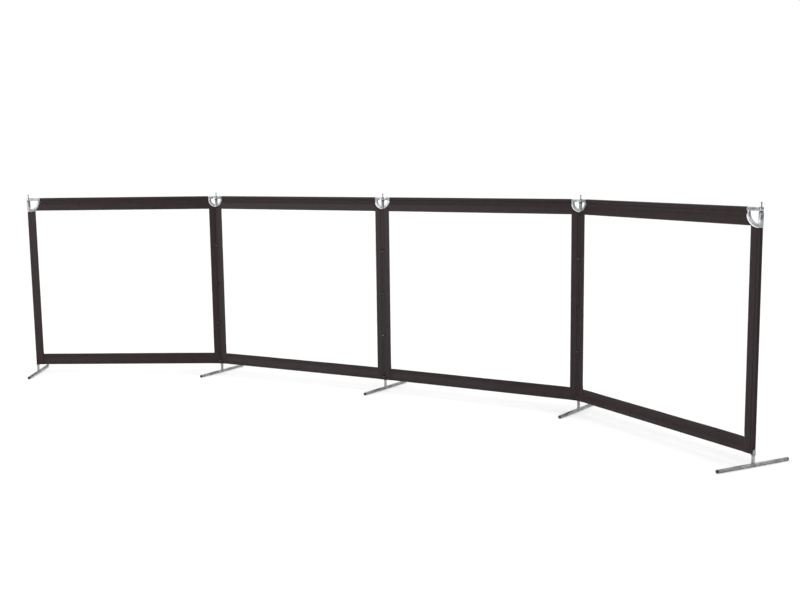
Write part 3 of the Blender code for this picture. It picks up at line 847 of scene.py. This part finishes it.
class Hang:
    """How far one panel's cloth hangs out of its flat plane; -Y is out, to the front."""

    def __init__(self, n):
        self.n = n
        self.sizes = settings()[0]

    def ripple(self, x, z):
        """Long shallow waves that die out at the posts and rails."""
        beside = smooth(30 * MM, 420 * MM, min(x, PITCH - x))
        above = smooth(HEM_RAIL_HEIGHT + 30 * MM, HEM_RAIL_HEIGHT + 260 * MM, z)
        below = smooth(40 * MM, 330 * MM, RAIL_HEIGHT - z)
        wave = math.sin(2 * math.pi * (x / 0.74 + 0.22 * z + 0.31 * self.n))
        lump = noise.noise(Vector((x * 3.1, 7.3 * self.n, z * 1.3)))
        return self.sizes.ripple * beside * above * below * (0.6 * wave + 1.1 * lump)

    def __call__(self, x, z):
        """The fall over the bottom rail, the ripples and small creases, together."""
        rail, window = HEM_RAIL_HEIGHT, HEM_LOW + self.sizes.bottom_border
        fall = smooth(rail + 14 * MM, rail + 55 * MM, z)
        fall *= 1 - smooth(rail + 58 * MM, window + 60 * MM, z)
        away = min(x, PITCH - x)
        lumps = 1 + 0.5 * noise.noise(Vector((x * 4.0, 3.1 * self.n, 0.0)))
        dent = self.sizes.hem_dent * fall * smooth(24 * MM, 150 * MM, away) * lumps
        pull = smooth(60 * MM, 200 * MM, away) * smooth(10 * MM, 60 * MM, z - HEM_LOW)
        crease = 0.7 * MM * noise.noise(Vector((x * 11, 1.7 * self.n, z * 6))) * pull
        return dent + self.ripple(x, z) + crease


def notch(kind):
    """Reach, drop and bend of the notch that the cloth has round a brace."""
    shape = END_BRACE if kind == "end" else FOLD_BRACE
    return [shape[key] + NOTCH_GROW for key in ("reach", "drop", "bend")]


def notch_reach(kind, z):
    """How far from the post the cloth starts at this height, clear of the brace."""
    reach, drop, bend = notch(kind)
    centre = RAIL_HEIGHT - drop + bend
    if z <= RAIL_HEIGHT - drop:
        return EDGE
    if z >= centre:
        return reach
    return max(EDGE, reach - bend + math.sqrt(bend**2 - (centre - z) ** 2))


def notch_floor(kind, x):
    """How high the cloth reaches under the brace, this far from the post."""
    reach, drop, bend = notch(kind)
    across = min(max(x - (reach - bend), 0.0), bend)
    return RAIL_HEIGHT - drop + bend - math.sqrt(bend**2 - across**2)


class Path:
    """A smooth line through points in a plane, read by its length."""

    def __init__(self, points, steps=10):
        ends = [points[0], *points, points[-1]]
        self.line = []
        for a, b, c, d in zip(ends, ends[1:], ends[2:], ends[3:]):
            for t in (i / steps for i in range(steps)):
                self.line.append([
                    0.5 * (
                        2 * q + (r - p) * t + (2 * p - 5 * q + 4 * r - s) * t**2
                        + (3 * q - p - 3 * r + s) * t**3
                    )
                    for p, q, r, s in zip(a, b, c, d)
                ])
        self.line.append(list(points[-1]))
        self.at = [0.0]
        for first, second in zip(self.line, self.line[1:]):
            self.at.append(self.at[-1] + math.dist(first, second))
        self.length = self.at[-1]

    def __call__(self, distance):
        distance = min(max(distance, 0.0), self.length)
        i = next((i for i in range(1, len(self.at)) if self.at[i] >= distance), len(self.at) - 1)
        span = self.at[i] - self.at[i - 1]
        t = (distance - self.at[i - 1]) / span if span else 0.0
        return [a + (b - a) * t for a, b in zip(self.line[i - 1], self.line[i])]


def round_points(first, last, count, radius=POCKET_RADIUS):
    """Points on a circle about the origin, from angle first to last in degrees."""
    turns = [math.radians(first + (last - first) * i / (count - 1)) for i in range(count)]
    return [(radius * math.cos(a), radius * math.sin(a)) for a in turns]


def drawn_in(x, left, right):
    """Move a place along a panel so that the cloth starts at left and ends at right."""
    span = 0.20
    if x < span:
        return left + (span - left) * x / span
    if x > PITCH - span:
        return PITCH - (right + (span - right) * (PITCH - x) / span)
    return x


def from_post(away, right):
    """Place along a panel that is this far from its left post, or from its right one."""
    return PITCH - away if right else away


class Cut:
    """One cut piece of sheet: its flat size, and where each of its points hangs in the panel."""

    def __init__(self, width, length, hangs):
        self.width, self.length, self.hangs = width, length, hangs

    def grid(self, columns, rows):
        """The cut as a grid, hung in place, with its flat size as its UV map in metres."""
        bm = bmesh.new()
        half = (self.width / 2, self.length / 2)
        flat = Matrix.Translation((*half, 0)) @ Matrix.Diagonal((*half, 1, 1))
        bmesh.ops.create_grid(bm, x_segments=columns, y_segments=rows, size=1, matrix=flat)
        layer = bm.loops.layers.uv.new("UVMap")
        for face in bm.faces:
            for loop in face.loops:
                loop[layer].uv = loop.vert.co.xy
        for vert in bm.verts:
            vert.co = self.hangs(vert.co.x, vert.co.y)
        return bm

    def frame_at(self, u, v, along):
        """Place, direction along the seam and outward normal of the cloth at a point."""
        step = 0.4 * MM
        here = Vector(self.hangs(u, v))
        right = (Vector(self.hangs(u + step, v)) - Vector(self.hangs(u - step, v))).normalized()
        up = (Vector(self.hangs(u, v + step)) - Vector(self.hangs(u, v - step))).normalized()
        return here, (right if along == "u" else up), right.cross(up).normalized()


def top_cut(kinds, hang):
    """Top strip: up from the window, in at the seam, round the rail and down behind again."""
    sizes = settings()[0]
    dent = sizes.seam_dent
    front_length, tail = 0.1, 20 * MM  # the parts of the path that hang with the curtain
    path = Path([
        (FRONT, -sizes.top_border), (FRONT, -90 * MM), (FRONT, -62 * MM),
        (FRONT + 0.3 * dent, -44 * MM), (FRONT + dent, -24 * MM),
        *round_points(206, -118, 22),
        (FRONT + dent + 1.0 * MM, -23 * MM), (FRONT + 0.82 * dent + 1.3 * MM, -30 * MM),
        (FRONT + 0.54 * dent + 1.4 * MM, -38 * MM),
    ])

    def hangs(u, v):
        y, z = path(v)
        below = v < front_length
        open_at = [notch_reach(kind, RAIL_HEIGHT + (z if below else 0)) for kind in kinds]
        x = drawn_in(u, *open_at)
        out = hang(x, RAIL_HEIGHT + z) if below or v > path.length - tail else 0.0
        return (x, y + out, RAIL_HEIGHT + z)

    return Cut(PITCH, path.length, hangs)


def bottom_cut(hang):
    """Bottom strip: down from the window to the hem, folded up behind."""
    top = settings()[0].bottom_border
    turn, behind = FRONT + 0.55 * MM, FRONT + 1.1 * MM
    path = Path([
        (FRONT, top), (FRONT, 0.8 * top), (FRONT, 0.5 * top), (FRONT, 0.25 * top),
        (FRONT, 2 * MM), (turn, 0), (behind, 2 * MM), (behind, 10 * MM), (behind, HEM_FOLD),
    ])

    def hangs(u, v):
        y, z = path(path.length - v)
        x = drawn_in(u, EDGE, EDGE)
        return (x, y + hang(x, HEM_LOW + z), HEM_LOW + z)

    return Cut(PITCH, path.length, hangs)


def side_cut(right, kind, hang):
    """Side strip: a band from hem to brace that lies over the ends of the other strips."""
    width, length = settings()[0].side_border - EDGE, STRIP_TOP - HEM_LOW
    lift = 0.7 * MM

    def hangs(u, v):
        away = EDGE + u
        top = min(notch_floor(kind, away), STRIP_TOP)
        z = HEM_LOW + v * (top - HEM_LOW) / length
        x = from_post(away, right)
        return (x, FRONT - lift + hang(x, z), z)

    return Cut(width, length, hangs)


def pocket_cut(right, low, high, hang):
    """Pole pocket: a loop round the post whose two ends are sewn behind the side strip."""
    tail = 40 * MM
    front = FRONT + LAYER - 0.2 * MM
    back = front + LAYER
    path = Path([
        (tail, front), (30 * MM, front), (16 * MM, front), (5 * MM, FRONT + 0.3 * MM),
        *round_points(266, -36, 22),
        (14.6 * MM, -11.6 * MM), (22 * MM, back), (30 * MM, back), (tail - 2 * MM, back),
    ])

    def hangs(u, v):
        away, y = path(u)
        x, z = from_post(away, right), low + v
        return (x, y + (hang(x, z) if away > EDGE else 0.0), z)

    return Cut(path.length, high - low, hangs)


def flap_cut(right, low, high, reach, out):
    """Soft free edge of a side strip between its pole pockets: it laps over the neighbour's pocket,
    or in front of the ring at the hem, and ends reach from the post's axis and out in front."""
    behind = FRONT - 0.05 * MM
    path = Path([
        (EDGE + 8 * MM, behind), (EDGE + 3 * MM, behind), (EDGE - 2 * MM, (behind + out) / 2),
        (EDGE - 5 * MM, out), ((EDGE + reach) / 2 - 3 * MM, out), (reach, out),
    ])

    def hangs(u, v):
        away, y = path(u)
        return (from_post(away, right), y, low + v)

    return Cut(path.length, high - low, hangs)


def pocket_spans(kind):
    """Heights of the pole pockets that one end of a panel has."""
    if kind == "end":
        return [(POCKET_LOW + SEGMENT_GAP, SLEEVE_LOW - SEGMENT_GAP)]
    length = (POCKET_HIGH - POCKET_LOW + SEGMENT_GAP) / 4
    starts = [POCKET_LOW + i * length for i in range(5)]
    spans = [(low, high - SEGMENT_GAP) for low, high in zip(starts, starts[1:])]
    return spans[0::2] if kind == "low" else spans[1::2]


def free_spans(right, kind):
    """Heights of the free stretches of a side strip, and how each ends: (low, high, reach, out)."""
    if kind == "end":
        return [(HEM_LOW, POCKET_LOW + SEGMENT_GAP, -9 * MM, -16.8 * MM)]
    lap = (4.0 * MM, FRONT - 1.0 * MM)
    cover = (-10.0 * MM, -18.0 * MM) if right else (3.0 * MM, -16.9 * MM)
    edges = [POCKET_LOW, *(z for span in pocket_spans(kind) for z in span), POCKET_HIGH]
    return [(HEM_LOW, POCKET_LOW - 1 * MM, *cover)] + [
        (low + 1 * MM, high - 1 * MM, *lap)
        for low, high in zip(edges[0::2], edges[1::2])
        if high - low > 20 * MM
    ]


def window_cut(hang):
    """Clear sheet behind the strips, with its corners rounded off clear of the braces."""
    sizes = settings()[0]
    left = sizes.side_border - sizes.film_lap
    low = HEM_LOW + sizes.bottom_border - sizes.film_lap
    width = PITCH - 2 * left
    length = RAIL_HEIGHT - sizes.top_border + sizes.film_lap - low
    corner, behind = 45 * MM, 1.4 * MM

    def hangs(u, v):
        a, b = min(u, width - u), min(v, length - v)
        if a < corner and b < corner:
            p, q = (corner - a) / corner, (corner - b) / corner
            reach = max(p, q) / max(math.hypot(p, q), EPS)
            a, b = corner - p * reach * corner, corner - q * reach * corner
        x = left + (a if u < width / 2 else width - a)
        z = low + (b if v < length / 2 else length - b)
        return (x, FRONT + behind + hang(x, z), z)

    return Cut(width, length, hangs)


def strap_cut(i, hang):
    """Hem strap: sewn to the front of the hem, down and round the rail, and up behind."""
    x, width = PITCH * (i - 0.5) / STRAPS, settings()[0].strap_width
    front = FRONT - 1.0 * MM
    path = Path([
        (front, 34 * MM), (front, 24 * MM), (front, 8 * MM),
        *round_points(206, 440, 20, radius=14.6 * MM),
        (-4 * MM, 17.2 * MM), (FRONT + 3.4 * MM, 26 * MM), (FRONT + 2.6 * MM, 40 * MM),
    ])

    def hangs(u, v):
        y, z = path(path.length - v)
        place, height = x - width / 2 + u, HEM_RAIL_HEIGHT + z
        return (place, y + smooth(4 * MM, 20 * MM, z) * hang(place, height), height)

    return Cut(width, path.length, hangs)


def hang_up(name, n, cut, grid, cloth, nodes=()):
    """A cut piece of sheet as its own object, with its thickness."""
    finish_name, slot, thickness = cloth
    piece = Piece(finish_name)
    piece.add(cut.grid(*grid))
    obj = piece.done(name, n, slot, nodes, sharp=60)
    modifier = obj.modifiers.new("thickness", "SOLIDIFY")
    modifier.thickness = thickness
    modifier.offset = 0
    return obj


def hang_sheet(name, n, cut, grid, cloth, node, held, rests_on, **facts):
    """A cut piece of sheet in place of a node."""
    obj = hang_up(name, n, cut, grid, cloth, [node])


def rows_in(low, high, each, least):
    """How many rows of this height a span takes."""
    return max(least, round((high - low) / each))


class CURTAIN_OT_add_borders(bpy.types.Operator):
    """Add the vinyl strips of each border, their pole pockets and their hem straps"""

    bl_idname = "curtain.add_borders"
    bl_label = "Vinyl borders"

    def execute(self, context):
        sizes = settings()[0]
        cloth = ("vinyl_coated_polyester", "border_vinyl", sizes.vinyl)
        for n in PANELS:
            hang, kinds, place = Hang(n), end_kinds(n), panel_place(n)
            straps = [
                hang_up(f"strap_{i}", n, strap_cut(i, hang), (6, 44), cloth)
                for i in range(1, STRAPS + 1)
            ]
            hang_sheet(
                "border_top", n, top_cut(kinds, hang), (110, 58), cloth, "curtain_border",
                "hung", [f"rail_top_{n}"],
            )
            hang_sheet(
                "border_bottom", n, bottom_cut(hang), (110, 34), cloth, "curtain_border",
                "stretched", [f"rail_bottom_{n}"], with_pieces=straps,
            )
            for right, kind in enumerate(kinds):
                side, post = "right" if right else "left", n + right
                sewn = [
                    hang_up(
                        f"pocket_{side}_{i}", n, pocket_cut(right, low, high, hang),
                        (44, rows_in(low, high, 25 * MM, 6)), cloth,
                    )
                    for i, (low, high) in enumerate(pocket_spans(kind), 1)
                ]
                fold, along = f"fold_at_post_{post}", place.to_3x3() @ Vector((1, 0, 0))
                anchor = place @ Vector((from_post(sizes.side_border, right), 0, 0))
                for i, (low, high, reach, out) in enumerate(free_spans(right, kind), 1):
                    flap = hang_up(
                        f"flap_{side}_{i}", n, flap_cut(right, low, high, reach, out),
                        (14, rows_in(low, high, 30 * MM, 3)), cloth,
                    )
                    if kind != "end":  # it takes a mesh of its own
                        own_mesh(flap)
                        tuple(along)
                    sewn.append(flap)
                hang_sheet(
                    f"border_{side}", n, side_cut(right, kind, hang), (8, 90), cloth,
                    "curtain_border", "stretched", [f"post_{post}"], with_pieces=sewn,
                )
        return {"FINISHED"}


class CURTAIN_OT_add_windows(bpy.types.Operator):
    """Add the clear PVC sheets"""

    bl_idname = "curtain.add_windows"
    bl_label = "Clear windows"

    def execute(self, context):
        cloth = ("clear_flexible_pvc", "clear_pvc", settings()[0].film)
        for n in PANELS:
            border = [f"border_{side}_{n}" for side in ("top", "bottom", "left", "right")]
            hang_sheet(
                "window", n, window_cut(Hang(n)), (90, 76), cloth, "clear_window",
                "stretched", border,
            )
        return {"FINISHED"}


def seam_rows(kinds, hang):
    """Where the seams run on each cut piece: (cut, start, end), in the cut's own (u, v)."""
    near, far, allowance = 0.04, 0.09, 6 * MM
    top, bottom = top_cut(kinds, hang), bottom_cut(hang)
    hem = bottom.length - settings()[0].bottom_border - allowance + HEM_FOLD
    rows = [
        (cut, (away, v), (PITCH - away, v))
        for cut, away, v in (
            (top, far, 86 * MM), (top, far, 81 * MM), (top, near, allowance),
            (bottom, near, hem), (bottom, near, bottom.length - allowance),
        )
    ]
    for right, kind in enumerate(kinds):
        side = side_cut(right, kind, hang)
        for u in (4 * MM, 17 * MM, side.width - allowance):
            rows.append((side, (u, 8 * MM), (u, side.length - 8 * MM)))
    return rows


def stitch_seam(stitch, cut, start, end):
    """A row of stitches on the front of a cut piece, from one (u, v) to another."""
    sizes = settings()[0]
    along = "u" if abs(end[0] - start[0]) > abs(end[1] - start[1]) else "v"
    lift = sizes.vinyl / 2 + 0.1 * MM
    count = int(math.dist(start, end) / sizes.stitch_pitch)
    for i in range(count):
        t = (i + 0.5) / count
        u, v = (a + (b - a) * t for a, b in zip(start, end))
        here, forward, normal = cut.frame_at(u, v, along)
        normal = normal if normal.y < 0 else -normal
        turn = Matrix((forward, normal.cross(forward), normal)).transposed().to_4x4()
        made = stitch.copy()
        made.transform(Matrix.Translation(here + normal * lift) @ turn)
        yield made


class CURTAIN_OT_add_stitches(bpy.types.Operator):
    """Add the sewn seams of the borders"""

    bl_idname = "curtain.add_stitches"
    bl_label = "Stitching"

    def execute(self, context):
        half = (settings()[0].stitch_length / 2, 0.45 * MM, 0.40 * MM)
        stitch = bmesh.new()
        bmesh.ops.create_icosphere(
            stitch, subdivisions=1, radius=1, matrix=Matrix.Diagonal((*half, 1))
        )
        for n in PANELS:
            piece = Piece("bonded_polyester_thread")
            for row in seam_rows(end_kinds(n), Hang(n)):
                for made in stitch_seam(stitch, *row):
                    piece.add(made)
            piece.done("stitches", n, "border_vinyl", sharp=80)
        stitch.free()
        return {"FINISHED"}


# ---- stage


def link_new(name, data):
    """A new object in the scene."""
    obj = bpy.data.objects.new(name, data)
    bpy.context.scene.collection.objects.link(obj)
    return obj


def softbox(name, place, look_at, width, height, watts):
    light = bpy.data.lights.new(name, "AREA")
    light.shape, light.size, light.size_y, light.energy = "RECTANGLE", width, height, watts
    obj = link_new(name, light)
    obj.location = place
    obj.rotation_euler = (Vector(look_at) - Vector(place)).to_track_quat("-Z", "Y").to_euler()


def studio_world():
    """A world that is white to the camera, and lights from dim below to bright above."""
    world = bpy.data.worlds.new("studio")
    world.use_nodes = True
    world.node_tree.nodes.clear()
    add = partial(add_node, world.node_tree)
    up = add("SeparateXYZ", links={0: add("TexCoord").outputs["Generated"]}).outputs["Z"]
    share = add("MapRange", {"From Min": 0.0, "From Max": 0.9}, {"Value": up})
    ramp = add("ValToRGB", links={"Fac": share})
    below, above = ramp.color_ramp.elements
    below.color = (0.16, 0.16, 0.165, 1)
    above.color = (1.50, 1.50, 1.50, 1)
    seen = add("LightPath").outputs["Is Camera Ray"]
    mix = add("Mix", {"data_type": "RGBA", "B": (1, 1, 1, 1)}, {"Factor": seen, "A": ramp})
    add("OutputWorld", links={"Surface": add("Background", {"Strength": 1.0}, {"Color": mix})})
    return world


class CURTAIN_OT_add_stage(bpy.types.Operator):
    """Add the floor, the lights and the camera"""

    bl_idname = "curtain.add_stage"
    bl_label = "Stage"

    def execute(self, context):
        scene, stage = context.scene, context.scene.screen_stage
        bm = bmesh.new()
        bmesh.ops.create_grid(bm, x_segments=4, y_segments=4, size=80)
        mesh = bpy.data.meshes.new("floor")
        bm.to_mesh(mesh)
        bm.free()
        mesh.materials.append(finish("painted_studio_floor"))
        floor = link_new("floor", mesh)
        floor.location.z = -0.2 * MM
        floor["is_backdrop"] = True

        softbox("key", (-5.4, -8.5, 2.2), (0, 0, 0.9), 4.0, 3.2, stage.key_power)
        softbox("overhead", (0.0, -1.0, 6.5), (0, 0, 0), 9.0, 5.0, stage.top_power)
        scene.world = studio_world()
        scene.view_settings.view_transform = "Standard"

        camera = link_new("camera", bpy.data.cameras.new("camera"))
        camera.data.sensor_width = 36
        camera.data.lens = stage.lens
        camera.matrix_world = (
            Matrix.Translation(stage.camera_place)
            @ Matrix.Rotation(stage.camera_heading, 4, "Z")
            @ Matrix.Rotation(math.pi / 2 - stage.camera_pitch, 4, "X")
            @ Matrix.Rotation(stage.camera_roll, 4, "Z")
        )
        scene.camera = camera
        return {"FINISHED"}


# ---- add-on


OPERATORS = (
    CURTAIN_OT_add_posts, CURTAIN_OT_add_feet, CURTAIN_OT_add_foot_caps, CURTAIN_OT_add_bushes,
    CURTAIN_OT_add_collars, CURTAIN_OT_add_pins, CURTAIN_OT_add_rails, CURTAIN_OT_add_braces,
    CURTAIN_OT_add_borders, CURTAIN_OT_add_windows, CURTAIN_OT_add_stitches, CURTAIN_OT_add_stage,
)
GROUPS = {
    "screen_sizes": ScreenSizes, "screen_colours": ScreenColours, "screen_stage": StageSettings,
}


class CURTAIN_PT_pieces(bpy.types.Panel):
    """The screen's pieces, in the order in which they are added"""

    bl_label = "Curtain Screen"
    bl_idname = "CURTAIN_PT_pieces"
    bl_space_type = "VIEW_3D"
    bl_region_type = "UI"
    bl_category = "Curtain Screen"

    def draw(self, context):
        for group, kind in GROUPS.items():
            box = self.layout.box()
            for name in kind.__annotations__:
                box.prop(getattr(context.scene, group), name)
        for operator in OPERATORS:
            self.layout.operator(operator.bl_idname)


CLASSES = (*GROUPS.values(), *OPERATORS, CURTAIN_PT_pieces)


def register():
    for cls in CLASSES:
        bpy.utils.register_class(cls)
    for name, group in GROUPS.items():
        setattr(bpy.types.Scene, name, bpy.props.PointerProperty(type=group))


def unregister():
    for name in GROUPS:
        delattr(bpy.types.Scene, name)
    for cls in reversed(CLASSES):
        bpy.utils.unregister_class(cls)


def main():
    register()
    bpy.ops.curtain.add_posts()
    bpy.ops.curtain.add_feet()
    bpy.ops.curtain.add_foot_caps()
    bpy.ops.curtain.add_bushes()
    bpy.ops.curtain.add_collars()
    bpy.ops.curtain.add_pins()
    bpy.ops.curtain.add_rails()
    bpy.ops.curtain.add_braces()
    bpy.ops.curtain.add_borders()
    bpy.ops.curtain.add_windows()
    bpy.ops.curtain.add_stitches()
    bpy.ops.curtain.add_stage()
    boxes = {"cad": CAD_BOX, "visual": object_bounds()}
    {key: [list(corner) for corner in box] for key, box in boxes.items()}


if __name__ == "__main__":
    main()
